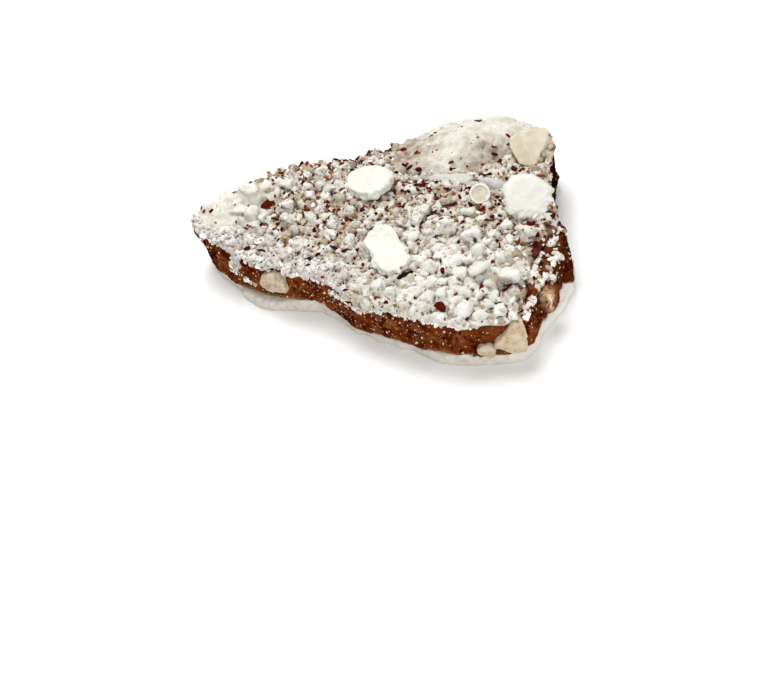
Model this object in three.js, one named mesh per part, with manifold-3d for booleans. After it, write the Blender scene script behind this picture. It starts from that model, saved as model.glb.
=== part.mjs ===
// A shard of white chocolate toffee: a slab of brown almond toffee, broken by hand into a rough triangle,
// with white chocolate under it and a thicker coat of white chocolate on top that is pressed full of
// chopped almonds.
//
// Units are millimetres. The shard lies on its flat lower coat, +Z is up, and +X runs along its longest
// broken face, which looks towards -Y. The origin is at the middle of the box that holds the shard, on the
// surface it lies on.
//
// Every layer is made in the same way: a sheet with a wavy top and bottom (a box whose faces are moved by
// height functions) is trimmed by a wall (the broken outline, extruded and roughened). Nuts and flakes
// that can be picked off are solids of their own, set in pockets that are cut with a small clearance.

import * as THREE from 'three';
import { ConvexGeometry } from 'three/addons/geometries/ConvexGeometry.js';
import { SimplexNoise } from 'three/addons/math/SimplexNoise.js';
import { mergeVertices } from 'three/addons/utils/BufferGeometryUtils.js';
import Module from 'manifold-3d';

// ---------------------------------------------------------------- driving dimensions

const LOWER_COAT_TOP = 2.0; // mean height of the seam between the lower coat and the toffee
const SLAB_TOP = 8.1; // mean height of the seam between the toffee and the upper coat
const UPPER_COAT = 1.0; // thickness of the upper coat between its nuggets
const CLEARANCE = 0.3; // left between neighbouring solids
const SEED = 1943;

// Corners of the broken outline, anticlockwise from the left tip, along the long front face, round the
// front corner, up the short right face and back down the rear. The curve through them is the outline at
// mid height.
const OUTLINE = [
  [-32.6, -20.4], [-26.5, -22.8], [-15.0, -23.4], [-4.5, -21.9], [2.0, -22.8], [11.0, -22.4],
  [21.5, -20.9], [27.4, -18.1], [31.3, -14.4], [30.2, -8.4], [29.9, -2.4], [28.4, 2.9], [24.6, 7.2],
  [19.8, 10.8], [15.6, 16.8], [12.8, 21.6], [7.0, 23.6], [0.8, 23.4], [-4.6, 19.2], [-8.6, 13.4],
  [-12.0, 6.8], [-16.0, 1.4], [-21.4, -1.0], [-25.6, -5.6], [-29.0, -11.8], [-32.2, -17.2],
];
const OUTLINE_STEPS = 84;
const SEAM_CELL = 4; // squares of the sheets' hidden faces
const TOP_CELL = 2.8; // squares of the upper coat's top
const MIDDLE = new THREE.Vector2(2, -4); // a point well inside, from which pushes on the walls are measured

// Where a wall stands out from the outline (push > 0) or falls short of it. reach is how far along the
// wall it is felt.
const LOWER_WALL = [
  { at: [-14.5, -23.5], reach: 5.2, push: 2.9 }, // foot of chocolate that ran out in front
  { at: [-32.5, -18.5], reach: 4.8, push: -4.6 }, // the left tip overhangs
  { at: [-2.5, -22.0], reach: 3.2, push: -0.5 },
  { at: [19.5, -21.6], reach: 5.0, push: 0.8 },
  { at: [31.0, -3.5], reach: 6.5, push: 0.5 },
  { at: [-12.0, 9.0], reach: 5.0, push: 0.8 },
];
const SLAB_WALL_FOOT = [
  { at: [-32.5, -18.5], reach: 5.0, push: -2.6 },
  { at: [-15.5, -23.5], reach: 6.0, push: 0.7 },
  { at: [31.0, -3.0], reach: 8.0, push: 0.3 },
];
const SLAB_WALL_HEAD = [
  { at: [30.5, -2.0], reach: 8.0, push: -1.7 }, // the right face leans in towards the top
  { at: [-6.0, -22.0], reach: 5.0, push: -0.4 },
];
const UPPER_WALL = [
  { at: [30.5, -1.5], reach: 8.0, push: -4.8 }, // bare toffee shows along the right edge
  { at: [31.0, -13.5], reach: 3.6, push: -1.2 },
  { at: [-20.0, -23.2], reach: 3.2, push: 0.3 },
  { at: [2.0, -22.6], reach: 4.0, push: 0.5 },
];

// Swells of the seam under the toffee and of the upper coat: centre, reach and height.
const LOWER_SEAM_SWELLS = [
  { at: [-5.5, -21.0], reach: 5.0, rise: 1.1 },
  { at: [2.0, -22.0], reach: 4.5, rise: -0.8 },
  { at: [-22.0, -22.0], reach: 6.0, rise: -0.5 },
  { at: [24.0, -18.0], reach: 7.0, rise: 0.6 },
];
const UPPER_COAT_SWELLS = [
  { at: [-26.0, -12.5], reach: 4.2, rise: 1.1 },
  { at: [-12.0, -3.0], reach: 8.0, rise: 0.5 },
  { at: [9.0, -6.0], reach: 10.0, rise: 0.4 },
  { at: [-18.0, -20.5], reach: 6.0, rise: -0.4 },
  { at: [5.0, 6.4], reach: 3.4, rise: 0.6 },
];

// A whole almond lies under the upper coat at the back, and shows as a long smooth mound.
const MOUND = { at: [0.2, 14.2], length: 22, width: 11.5, turn: 52, rise: 3.0 };

// Flakes of white chocolate that lie loose on top. rim is a flake's outline about its own middle; turn in plan
// and tilt are in degrees.
const FLAKES = {
  flake_rear_left: {
    at: [-7.6, -2.0, 11.5],
    thickness: 3.0,
    tilt: [6, -6],
    rim: [
      [-4.2, -1.2], [-4.8, 0.8], [-3.6, 2.6], [-1.4, 3.8], [1.2, 3.9], [3.2, 2.8], [3.9, 1.0], [3.1, -0.7],
      [2.4, -2.2], [0.3, -2.9], [-2.4, -2.6],
    ],
  },
  flake_middle: {
    at: [4.5, -13.5, 11.3],
    thickness: 2.6,
    tilt: [4, 4],
    rim: [
      [-4.8, -0.2], [-5.0, 3.0], [-4.1, 4.6], [-2.2, 4.6], [0.3, 3.0], [3.2, 1.4], [5.0, -1.2], [3.9, -2.8],
      [2.9, -4.0], [-0.3, -3.3], [-1.9, -1.7], [-3.7, -1.2],
    ],
  },
  flake_rear_right: {
    at: [18.3, 7.0, 11.6],
    thickness: 2.8,
    turn: 45,
    tilt: [34, 10],
    rim: [
      [-4.1, -0.2], [-3.5, 2.3], [-1.9, 3.7], [0.3, 4.0], [2.4, 3.1], [3.9, 1.3], [4.2, -0.7], [3.5, -2.6],
      [1.2, -3.9], [-1.4, -3.9], [-3.3, -2.6],
    ],
  },
};

const FLAKE_ROOM = 4.2; // kept clear of nuggets about the middle of each

// Almonds that were snapped through with the toffee. face is the outline of the cut face, as distance along
// the wall and height, and depth is how far the kernel goes in behind it.
const ALMONDS = {
  almond_front_left: {
    at: [-13.6, -24.1, 0],
    turn: 4,
    depth: 3.0,
    face: [
      [-1.9, 5.3], [-1.1, 7.0], [0.7, 7.9], [2.3, 8.0], [3.0, 7.3], [3.1, 4.4], [1.0, 3.9], [-0.6, 3.5],
      [-1.8, 3.9],
    ],
  },
  almond_front_right: {
    at: [26.6, -19.4, 0],
    turn: 28,
    depth: 2.4,
    face: [[-1.3, 4.2], [-0.3, 5.1], [0.9, 5.3], [1.7, 4.1], [1.3, 2.6], [0.8, 2.3], [-0.2, 2.7], [-1.2, 3.3]],
  },
  almond_front_corner: {
    at: [30.2, -16.9, 0],
    turn: 44,
    depth: 4.6,
    face: [
      [1.3, 9.0], [2.4, 8.6], [2.6, 6.0], [2.2, 2.6], [0.2, 2.7], [-2.6, 4.9], [-2.3, 5.7], [-0.2, 7.2],
    ],
  },
  almond_right_face: {
    at: [31.2, -6.2, 0],
    turn: 90,
    depth: 2.4,
    face: [[-1.9, 5.0], [-1.1, 7.2], [0.6, 8.0], [1.8, 6.9], [1.6, 4.4], [0.1, 3.2], [-1.3, 3.6]],
  },
};

// The large almond on the rear corner: half a kernel, snapped off. face is the outline of its flat cut face,
// rise is how far that lies in front of the middle, and back holds the corners behind it.
const REAR_ALMOND = {
  at: [11.5, 17.8, 10.7],
  turn: 36,
  tilt: [44, 10],
  face: [[-3.6, 1.6], [-1.9, 2.7], [2.2, 3.5], [3.0, 2.7], [0.6, -3.1], [-1.9, -2.8], [-3.5, -0.1]],
  rise: 2.0,
  back: [
    [4.3, 0.3, 0.3], [3.2, -1.8, 0.4], [3.1, -3.4, 0.4], [1.8, -4.1, 0.5], [2.6, 1.2, -2.0], [1.2, 2.4, -2.0],
    [-2.8, 1.0, -2.0], [-2.0, -1.4, -1.8], [0.6, -2.6, -1.8],
  ],
};

// Nuggets that stand out enough to be told apart: place, length, width and turn in plan. The rest are
// drawn by rule.
const NAMED_NUGGETS = [
  [3.6, -3.3, 4.6, 2.8, 60], [9.2, -4.1, 4.8, 3.4, 10], [10.4, 1.2, 3.4, 2.2, 20],
  [14.8, -4.2, 4.2, 3.2, 10], [4.9, -8.2, 3.4, 2.8, 0], [21.2, -10.1, 3.8, 2.8, 70],
  [24.6, -8.6, 4.4, 2.8, 20], [17.4, -1.3, 2.6, 2.2, 0], [21.6, 0.4, 4.2, 3.0, -10],
  [9.2, 6.2, 3.4, 3.2, 0], [-29.2, -14.4, 3.4, 2.8, 50], [-25.2, -12.0, 5.6, 4.4, 30],
  [-23.6, -8.8, 3.6, 2.8, 70], [-18.0, -11.8, 3.8, 2.8, 20], [-13.2, -9.6, 3.0, 2.4, 0],
  [-0.6, -7.2, 3.8, 2.4, 40],
];

// How nuggets lie: in each zone their mean size and how many share the draw. Zones are tried in this order.
const NUGGET_ZONES = [
  { at: [16, -13], reach: [16, 8.5], size: 3.2, share: 62 }, // round and crowded behind the front corner
  { at: [-3, -5], reach: [17, 11], size: 2.7, share: 52 },
  { at: [15, 1], reach: [11, 9], size: 2.7, share: 24 },
  { at: [-22, -9], reach: [9, 8], size: 2.8, share: 14 },
  { at: [-9, -18.5], reach: [22, 3.4], size: 2.2, share: 12 }, // few on the smooth band along the front face
];

// Chocolate that ran down the front face: place on the face, width, drop and how far it stands out.
const RUNS = [
  { at: [-20.3, -22.9, 6.6], size: [3.6, 1.5, 5.2], turn: 6 },
  { at: [4.6, -22.7, 8.0], size: [6.4, 1.5, 3.4], turn: -4 },
  { at: [-27.0, -21.8, 8.2], size: [4.6, 1.6, 2.2], turn: -18 },
];

const COLOURS = {
  toffee: 0x7a3a16,
  lowerCoat: 0xe6e0d6,
  upperCoat: 0xece6dc,
  flake: 0xf6f2e6,
  almond: 0xd9c3a0,
  blanched: 0xe9dfc6,
};

// ---------------------------------------------------------------- small tools

const wasm = await Module();
wasm.setup();

let drawn = SEED;
const random = () => {
  drawn += 1;
  return THREE.MathUtils.seededRandom(drawn * 7919);
};
const noise = new SimplexNoise({ random });
const radians = THREE.MathUtils.degToRad;

function toSolid(geometry) {
  const bare = geometry.clone();
  bare.deleteAttribute('normal');
  bare.deleteAttribute('uv');
  const merged = mergeVertices(bare, 1e-4);
  return new wasm.Manifold(new wasm.Mesh({
    numProp: 3,
    vertProperties: new Float32Array(merged.attributes.position.array),
    triVerts: new Uint32Array(merged.index.array),
  }));
}

function toGeometry(solid) {
  const { vertProperties, triVerts } = solid.getMesh();
  const geometry = new THREE.BufferGeometry();
  geometry.setAttribute('position', new THREE.BufferAttribute(new Float32Array(vertProperties), 3));
  geometry.setIndex(new THREE.BufferAttribute(new Uint32Array(triVerts), 1));
  geometry.computeVertexNormals();
  return geometry;
}

// The largest connected body of a solid: a cut can leave loose scraps, which are dropped.
function largestBody(solid) {
  return solid.decompose().reduce((best, body) => (body.volume() > best.volume() ? body : best));
}

// Moves every vertex of a geometry to where move(vertex) puts it.
function moved(geometry, move) {
  const position = geometry.attributes.position;
  const vertex = new THREE.Vector3();
  for (let i = 0; i < position.count; i += 1) {
    vertex.fromBufferAttribute(position, i);
    move(vertex);
    position.setXYZ(i, vertex.x, vertex.y, vertex.z);
  }
  return geometry;
}

// Turns a piece in plan, tilts it and carries it to its place.
function placed(geometry, { at, turn = 0, tilt = [0, 0] }) {
  geometry.rotateX(radians(tilt[0]));
  geometry.rotateY(radians(tilt[1]));
  geometry.rotateZ(radians(turn));
  geometry.translate(...at);
  return geometry;
}

// How strongly a feature is felt at (x, y): 1 at its centre, fading within its reach.
const bell = ({ at, reach }, x, y) => Math.exp(-((Math.hypot(x - at[0], y - at[1]) / reach) ** 2));

const riseOf = (list, x, y) => list.reduce((sum, swell) => sum + swell.rise * bell(swell, x, y), 0);
const pushOf = (list, x, y) => list.reduce((sum, spot) => sum + spot.push * bell(spot, x, y), 0);

// ---------------------------------------------------------------- heights of the seams and of the top

const slabFloor = (x, y) => LOWER_COAT_TOP + riseOf(LOWER_SEAM_SWELLS, x, y)
  + 0.25 * noise.noise(x / 15, y / 15);

const slabHead = (x, y) => SLAB_TOP + 0.35 * noise.noise(x / 16 + 9, y / 16);

function mound(x, y) {
  const turn = radians(MOUND.turn);
  const [dx, dy] = [x - MOUND.at[0], y - MOUND.at[1]];
  const along = (dx * Math.cos(turn) + dy * Math.sin(turn)) / (MOUND.length / 2);
  const across = (dy * Math.cos(turn) - dx * Math.sin(turn)) / (MOUND.width / 2);
  return MOUND.rise * Math.max(0, 1 - along ** 2 - across ** 2) ** 0.7;
}

const coatHead = (x, y) => slabHead(x, y) + CLEARANCE + UPPER_COAT + riseOf(UPPER_COAT_SWELLS, x, y)
  + mound(x, y) + 0.3 * noise.noise(x / 4.5, y / 4.5 + 30);

// ---------------------------------------------------------------- outline, walls and sheets

const outlineCurve = new THREE.CatmullRomCurve3(
  OUTLINE.map(([x, y]) => new THREE.Vector3(x, y, 0)), true, 'centripetal');
const outlineShape = new THREE.Shape(
  outlineCurve.getSpacedPoints(OUTLINE_STEPS).slice(0, -1).map(({ x, y }) => new THREE.Vector2(x, y)));

// A wall is the outline from one height to another. push(x, y, z) says how far it stands out at each place.
function wall(low, high, steps, push) {
  const geometry = new THREE.ExtrudeGeometry(outlineShape, { depth: high - low, steps, bevelEnabled: false });
  geometry.translate(0, 0, low);
  return moved(geometry, (vertex) => {
    const outward = new THREE.Vector2(vertex.x, vertex.y).sub(MIDDLE).normalize();
    const distance = push(vertex.x, vertex.y, vertex.z);
    vertex.x += outward.x * distance;
    vertex.y += outward.y * distance;
  });
}

// A sheet lies between two height functions. cell is the size of its squares.
function sheet(floor, head, cell) {
  const columns = Math.round(76 / cell);
  const rows = Math.round(60 / cell);
  const geometry = new THREE.BoxGeometry(76, 60, 1, columns, rows, 1);
  return moved(geometry, (vertex) => {
    vertex.z = (vertex.z > 0 ? head : floor)(vertex.x, vertex.y);
  });
}

// ---------------------------------------------------------------- pieces

// A chopped nut: the hull of points strewn over an ellipsoid, so that it has the flat faces of a broken
// kernel.
function choppedNut({ size, points }) {
  const strewn = [];
  for (let i = 0; i < points; i += 1) {
    const height = 1 - (2 * (i + 0.5)) / points;
    const angle = i * 2.39996 + 0.7 * random(); // the golden angle spreads them evenly
    const ring = Math.sqrt(1 - height ** 2);
    const reach = 0.9 + 0.2 * random();
    strewn.push(new THREE.Vector3(
      0.5 * size[0] * ring * Math.cos(angle) * reach,
      0.5 * size[1] * ring * Math.sin(angle) * reach,
      0.5 * size[2] * height * reach));
  }
  return new ConvexGeometry(strewn);
}

// A run of chocolate: a flattened lump with an uneven rim.
function run({ size, seed }) {
  return moved(new THREE.IcosahedronGeometry(0.5, 2), (vertex) => {
    const rim = 1 + 0.16 * noise.noise3d(vertex.x * 3 + seed, vertex.y * 3, vertex.z * 2)
      + 0.07 * noise.noise3d(vertex.x * 8, vertex.y * 8 + seed, vertex.z * 5);
    vertex.set(vertex.x * size[0] * rim, vertex.y * size[1] * rim, vertex.z * size[2] * (0.6 + 0.4 * rim));
  });
}

// A flake: flat above and below, with a full round edge that follows its rim.
function flake({ rim, thickness }) {
  const outline = new THREE.CatmullRomCurve3(
    rim.map(([x, y]) => new THREE.Vector3(x, y, 0)), true, 'centripetal');
  const ball = moved(new THREE.SphereGeometry(1, 20, 8), (vertex) => {
    const slope = Math.acos(THREE.MathUtils.clamp(vertex.y, -1, 1));
    const round = Math.atan2(vertex.z, vertex.x) / (2 * Math.PI);
    const reach = Math.sin(slope) ** 0.6;
    const { x, y } = outline.getPoint((round + 1) % 1);
    const height = 0.5 * thickness * Math.sign(vertex.y) * Math.abs(vertex.y) ** 0.8;
    vertex.set(x * reach, y * reach, height + 0.1 * noise.noise(x * reach, y * reach));
  });
  return toGeometry(toSolid(ball));
}

// A kernel that was snapped through: the hull of its flat face and of a smaller outline behind that.
function snappedKernel({ face, depth }) {
  const middle = face.reduce((sum, [, height]) => sum + height, 0) / face.length;
  const front = face.map(([along, height]) => new THREE.Vector3(along, 0, height));
  const back = face.map(([along, height]) => new THREE.Vector3(
    0.6 * along, depth, middle + 0.6 * (height - middle)));
  const waist = face.map(([along, height]) => new THREE.Vector3(
    0.95 * along, 0.55 * depth, middle + 0.95 * (height - middle)));
  return new ConvexGeometry([...front, ...waist, ...back]);
}

function rearAlmond({ face, rise, back }) {
  return new ConvexGeometry([
    ...face.map(([x, y]) => new THREE.Vector3(x, y, rise)),
    ...back.map((corner) => new THREE.Vector3(...corner)),
  ]);
}

// The same piece made larger all round by the clearance: what its pocket is cut with.
function grown(geometry) {
  const extent = new THREE.Box3().setFromBufferAttribute(geometry.attributes.position);
  const centre = extent.getCenter(new THREE.Vector3());
  return moved(geometry.clone(), (vertex) => {
    const offset = vertex.clone().sub(centre);
    vertex.addScaledVector(offset.normalize(), CLEARANCE * 1.25);
  });
}

// ---------------------------------------------------------------- nuggets of the upper coat

function nugget(x, y, length, width, turn) {
  const thickness = 0.85 * width;
  const geometry = choppedNut({ size: [length, width, thickness], points: width > 2.8 ? 11 : 9 });
  const at = [x, y, coatHead(x, y) + 0.16 * thickness];
  return placed(geometry, { at, turn, tilt: [24 * (random() - 0.5), 24 * (random() - 0.5)] });
}

// Draws nuggets zone by zone. One that would crowd another, leave the coat or lie on a flake or the mound
// is not laid.
function drawNuggets() {
  const laid = NAMED_NUGGETS.map(([x, y, length, width, turn]) => ({ x, y, length, width, turn }));
  const keepClear = [
    ...Object.values(FLAKES).map(({ at }) => ({ x: at[0], y: at[1], room: FLAKE_ROOM })),
    { x: REAR_ALMOND.at[0], y: REAR_ALMOND.at[1], room: 6 },
    { x: ALMONDS.almond_front_corner.at[0], y: ALMONDS.almond_front_corner.at[1], room: 3.4 },
  ];
  for (const { at, reach, size, share } of NUGGET_ZONES) {
    for (let left = share, tries = 0; left > 0 && tries < 60 * share; tries += 1) {
      const angle = 2 * Math.PI * random();
      const spread = Math.sqrt(random());
      const x = at[0] + reach[0] * spread * Math.cos(angle);
      const y = at[1] + reach[1] * spread * Math.sin(angle);
      const width = size * (0.7 + 0.5 * random());
      const length = width * (1 + 0.45 * random());
      const turn = 180 * random();
      const crowded = laid.some((near) => Math.hypot(x - near.x, y - near.y) < 0.4 * (length + near.length))
        || keepClear.some((spot) => Math.hypot(x - spot.x, y - spot.y) < spot.room + 0.5 * width);
      if (crowded || mound(x, y) > 0.5 || !insideCoat(x, y, 0.7 * width)) continue;
      laid.push({ x, y, length, width, turn });
      left -= 1;
    }
  }
  return laid.map(({ x, y, length, width, turn }) => toSolid(nugget(x, y, length, width, turn)));
}

// True where a point is inside the upper coat's wall by at least the margin.
function insideCoat(x, y, margin) {
  const rim = outlineShape.getPoints().map((point) => {
    const outward = point.clone().sub(MIDDLE).normalize();
    return point.clone().addScaledVector(outward, pushOf(UPPER_WALL, point.x, point.y) - margin);
  });
  let inside = false;
  rim.forEach((a, i) => {
    const b = rim[(i + 1) % rim.length];
    if ((a.y > y) !== (b.y > y) && x < ((b.x - a.x) * (y - a.y)) / (b.y - a.y) + a.x) inside = !inside;
  });
  return inside;
}

// ---------------------------------------------------------------- layers

// How rough each broken wall is, as a push in millimetres.
const fracture = (x, y, z) => 0.42 * noise.noise3d(x / 4.2, y / 4.2, z / 4.6)
  + 0.16 * noise.noise3d(x / 1.6, y / 1.6, z / 2.4);
const raggedRim = (x, y) => 0.45 * noise.noise(x / 3.1 + 50, y / 3.1)
  + 0.3 * noise.noise(x / 1.3, y / 1.3 + 70);

function lowerCoat() {
  const trim = wall(-1, 5, 4, (x, y, z) => pushOf(LOWER_WALL, x, y) + raggedRim(x, y)
    - 0.35 * Math.max(0, z - 0.8) + 0.15 * noise.noise3d(x / 2, y / 2, z));
  return toSolid(sheet(() => 0, (x, y) => slabFloor(x, y) - CLEARANCE, SEAM_CELL)).intersect(toSolid(trim));
}

// The slab, or the room that it takes with a margin all round.
function toffeeSlab(margin = 0) {
  const trim = wall(0, 10, 5, (x, y, z) => {
    const rise = THREE.MathUtils.clamp((z - 1.5) / 7, 0, 1);
    const lean = (1 - rise) * pushOf(SLAB_WALL_FOOT, x, y) + rise * pushOf(SLAB_WALL_HEAD, x, y);
    return lean + fracture(x, y, z) + margin;
  });
  const toffee = sheet((x, y) => slabFloor(x, y) - margin, (x, y) => slabHead(x, y) + margin, SEAM_CELL);
  return toSolid(toffee).intersect(toSolid(trim));
}

function upperCoat() {
  const trim = wall(6, 16, 6, (x, y, z) => pushOf(UPPER_WALL, x, y) + raggedRim(x + 20, y)
    + 0.6 * fracture(x, y, z));
  const coat = toSolid(sheet((x, y) => slabHead(x, y) - 1, coatHead, TOP_CELL)).intersect(toSolid(trim));
  const runs = RUNS.map(({ at, size, turn }) => toSolid(placed(run({ size, seed: at[0] }), { at, turn })));
  return wasm.Manifold.union([coat, ...runs, ...drawNuggets()]);
}

// ---------------------------------------------------------------- the shard

const material = (color, roughness) => new THREE.MeshStandardMaterial({ color, roughness, metalness: 0 });

const shard = new THREE.Group();
function add(name, geometry, color, roughness) {
  const mesh = new THREE.Mesh(geometry, material(color, roughness));
  mesh.name = name;
  shard.add(mesh);
}

const loose = {};
for (const [name, piece] of Object.entries(FLAKES)) loose[name] = placed(flake(piece), piece);
for (const [name, piece] of Object.entries(ALMONDS)) loose[name] = placed(snappedKernel(piece), piece);
loose.almond_rear = placed(rearAlmond(REAR_ALMOND), REAR_ALMOND);
const pockets = wasm.Manifold.union(Object.values(loose).map((geometry) => toSolid(grown(geometry))));

const layer = (solid) => toGeometry(largestBody(solid.subtract(pockets)));

add('lower_coat', layer(lowerCoat()), COLOURS.lowerCoat, 0.55);
add('toffee_slab', layer(toffeeSlab()), COLOURS.toffee, 0.35);
add('upper_coat', layer(upperCoat().subtract(toffeeSlab(CLEARANCE))), COLOURS.upperCoat, 0.6);
for (const name of Object.keys(FLAKES)) add(name, loose[name], COLOURS.flake, 0.5);
for (const name of Object.keys(ALMONDS)) add(name, loose[name], COLOURS.almond, 0.6);
add('almond_rear', loose.almond_rear, COLOURS.blanched, 0.55);

// The origin is the middle of the shard's box, at its foot.
const box = new THREE.Box3().setFromObject(shard);
const centre = box.getCenter(new THREE.Vector3());
shard.children.forEach((mesh) => mesh.geometry.translate(-centre.x, -centre.y, -box.min.z));

export default shard;
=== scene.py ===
# A shard of white chocolate toffee on a pale table. Almond toffee was coated with white chocolate below and
# above, strewn with chopped almonds while the upper coat was soft, and broken by hand. The file follows
# that order, from the coat that the shard lies on up to the crumbs. Lengths are in metres; MM turns
# millimetres into metres.

import math
import random

import bmesh
import bpy
import numpy as np
from mathutils import Matrix, Vector, noise
from mathutils.bvhtree import BVHTree
from mathutils.kdtree import KDTree


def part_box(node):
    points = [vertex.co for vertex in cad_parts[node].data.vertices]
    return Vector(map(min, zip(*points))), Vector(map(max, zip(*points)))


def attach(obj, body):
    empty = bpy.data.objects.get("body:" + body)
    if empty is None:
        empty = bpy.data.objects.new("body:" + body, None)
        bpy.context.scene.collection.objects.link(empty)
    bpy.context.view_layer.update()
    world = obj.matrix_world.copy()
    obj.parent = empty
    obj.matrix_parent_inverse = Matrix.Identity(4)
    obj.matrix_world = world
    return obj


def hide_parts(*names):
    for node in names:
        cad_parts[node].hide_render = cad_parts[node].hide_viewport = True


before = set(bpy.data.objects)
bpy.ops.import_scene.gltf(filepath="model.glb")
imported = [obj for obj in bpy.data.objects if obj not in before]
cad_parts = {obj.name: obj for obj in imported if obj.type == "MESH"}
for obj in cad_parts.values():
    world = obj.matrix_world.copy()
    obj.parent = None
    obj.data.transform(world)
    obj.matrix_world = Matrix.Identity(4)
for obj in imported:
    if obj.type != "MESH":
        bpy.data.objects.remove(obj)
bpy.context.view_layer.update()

MM = 0.001

# ---- The view
# The shard is seen from above its blunt front corner, half-way between the long front face and the right
# face, with the camera rolled a little. AIM is a point inside the shard, and AIM_PIXEL where the photograph
# shows it.
AZIMUTH, ELEVATION, ROLL = (math.radians(angle) for angle in (46, 45, -14))
LENS, SENSOR = 120, 36
DISTANCE = 433.3 * MM
AIM = Vector((-1.0, -3.3, 5.0)) * MM
PICTURE = (780, 675)
AIM_PIXEL = (400, 232)
UP = Vector((0, 0, 1))

towards_camera = Vector((
    math.sin(AZIMUTH) * math.cos(ELEVATION), -math.cos(AZIMUTH) * math.cos(ELEVATION), math.sin(ELEVATION)))
level_right = UP.cross(towards_camera).normalized()
picture_axes = Matrix.Rotation(ROLL, 3, towards_camera)
picture_right = picture_axes @ level_right
picture_up = picture_axes @ towards_camera.cross(level_right)

pixel = DISTANCE * SENSOR / LENS / PICTURE[0]
camera_place = AIM + towards_camera * DISTANCE
camera_place -= picture_right * pixel * (AIM_PIXEL[0] - PICTURE[0] / 2)
camera_place += picture_up * pixel * (AIM_PIXEL[1] - PICTURE[1] / 2)


def placed(name, data):
    """An object in the scene that holds a camera, a lamp or a mesh."""
    holder = bpy.data.objects.new(name, data)
    bpy.context.scene.collection.objects.link(holder)
    return holder


camera = placed("camera", bpy.data.cameras.new("camera"))
camera.data.lens = LENS
camera.data.sensor_width = SENSOR
camera.data.clip_start = 10 * MM
camera.matrix_world = Matrix.Translation(camera_place) @ Matrix(
    (picture_right, picture_up, towards_camera)).transposed().to_4x4()
bpy.context.scene.camera = camera

# ---- The studio
# A white table in a white room, one large soft lamp above and behind the shard, a little to the left of the
# picture, and a weak one in front.
TABLE_HALF_WIDTH = 3 # metres


def add_lamp(name, side, height, away, size, watts):
    """A square lamp that faces the shard: side runs along the picture, and away from the camera."""
    lamp = bpy.data.lights.new(name, "AREA")
    lamp.size = size
    lamp.energy = watts
    level_away = Vector((-math.sin(AZIMUTH), math.cos(AZIMUTH), 0))
    place = level_right * side + level_away * away + UP * height
    turn = place.to_track_quat("Z", "Y").to_matrix().to_4x4()
    placed(name, lamp).matrix_world = Matrix.Translation(place) @ turn


add_lamp("key_lamp", side=-0.04, height=0.58, away=0.27, size=0.40, watts=4.2)
add_lamp("fill_lamp", side=0.04, height=0.32, away=-0.50, size=0.60, watts=2.2)


def srgb(red, green, blue):
    """A colour as a screen shows it, 0 to 255, in the linear values that shaders take."""
    shares = [value / 255 for value in (red, green, blue)]
    return (*[v / 12.92 if v < 0.04045 else ((v + 0.055) / 1.055) ** 2.4 for v in shares], 1)


def add_node(tree, kind, inputs=None, **settings):
    """Adds a shader node. inputs holds values, or the sockets of other nodes that are linked in."""
    made = tree.nodes.new(kind)
    for name, value in settings.items():
        setattr(made, name, value)
    for name, value in (inputs or {}).items():
        if isinstance(value, bpy.types.NodeSocket):
            tree.links.new(value, made.inputs[name])
        else:
            made.inputs[name].default_value = value
    return made


def new_material(name):
    """An empty material with a Principled BSDF: (material, its tree, the shader's inputs)."""
    material = bpy.data.materials.new(name)
    material.use_nodes = True
    return material, material.node_tree, material.node_tree.nodes["Principled BSDF"].inputs


def set_inputs(inputs, **values):
    """Sets inputs of a node. An underscore stands for a space in their names."""
    for name, value in values.items():
        inputs[name.replace("_", " ")].default_value = value


def new_piece(name, shape):
    """An object made of a bmesh, which is used up."""
    mesh = bpy.data.meshes.new(name)
    shape.to_mesh(mesh)
    shape.free()
    return placed(name, mesh)


room = bpy.data.worlds.new("white_room")
room.use_nodes = True
set_inputs(room.node_tree.nodes["Background"].inputs, Color=(1.0, 0.995, 0.985, 1), Strength=0.30)
bpy.context.scene.world = room
bpy.context.scene.view_settings.view_transform = "Standard"

board = bmesh.new()
bmesh.ops.create_grid(board, x_segments=1, y_segments=1, size=TABLE_HALF_WIDTH)
table = new_piece("table_top", board)
material, tree, shader = new_material("white_table")
set_inputs(shader, Base_Color=srgb(250, 250, 249), Roughness=0.7)
table.data.materials.append(material)

# ---- The lower coat
# White chocolate that the toffee was laid on: smooth and satin, with a foot that ran out at the front and a
# thin chipped lip along the toffee. It is a little grey, and greyer with painted shade; its right end is
# lighter with painted light. Its solid is remeshed into an even net and worked over.
LOWER_COAT_NET = 0.28 * MM
LOWER_COAT_SWELL = 0.14 * MM # closes half of the gap that the solids keep


def copy_of(*nodes):
    """The CAD solids of these nodes as one bmesh, with their loose triangles joined."""
    copied = bmesh.new()
    for name in nodes:
        copied.from_mesh(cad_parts[name].data)
    bmesh.ops.remove_doubles(copied, verts=copied.verts, dist=0.001 * MM)
    return copied


def worked(piece, *steps):
    """The mesh that a piece has after some modifiers, each given as (kind, settings)."""
    for kind, settings in steps:
        modifier = piece.modifiers.new(kind, kind)
        for name, value in settings.items():
            setattr(modifier, name, value)
    finished = piece.evaluated_get(bpy.context.evaluated_depsgraph_get())
    mesh = bpy.data.meshes.new_from_object(finished)
    piece.modifiers.clear()
    return mesh


def remesh(piece, net, rounding):
    """Turns a piece's skin into an even net of squares, and rounds its edges by some rounds of smoothing."""
    piece.data = worked(
        piece,
        ("REMESH", {"mode": "VOXEL", "voxel_size": net}),
        ("SMOOTH", {"factor": 0.5, "iterations": rounding}))


def carve(piece, rise):
    """Moves each point of a piece along its normal by rise(place, normal)."""
    skin = [(vertex, vertex.co.copy(), vertex.normal.copy()) for vertex in piece.data.vertices]
    for vertex, place, normal in skin:
        vertex.co = place + normal * rise(place, normal)
    piece.data.update()


def clamped(value):
    """A value kept between 0 and 1."""
    return max(0.0, min(1.0, value))


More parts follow.
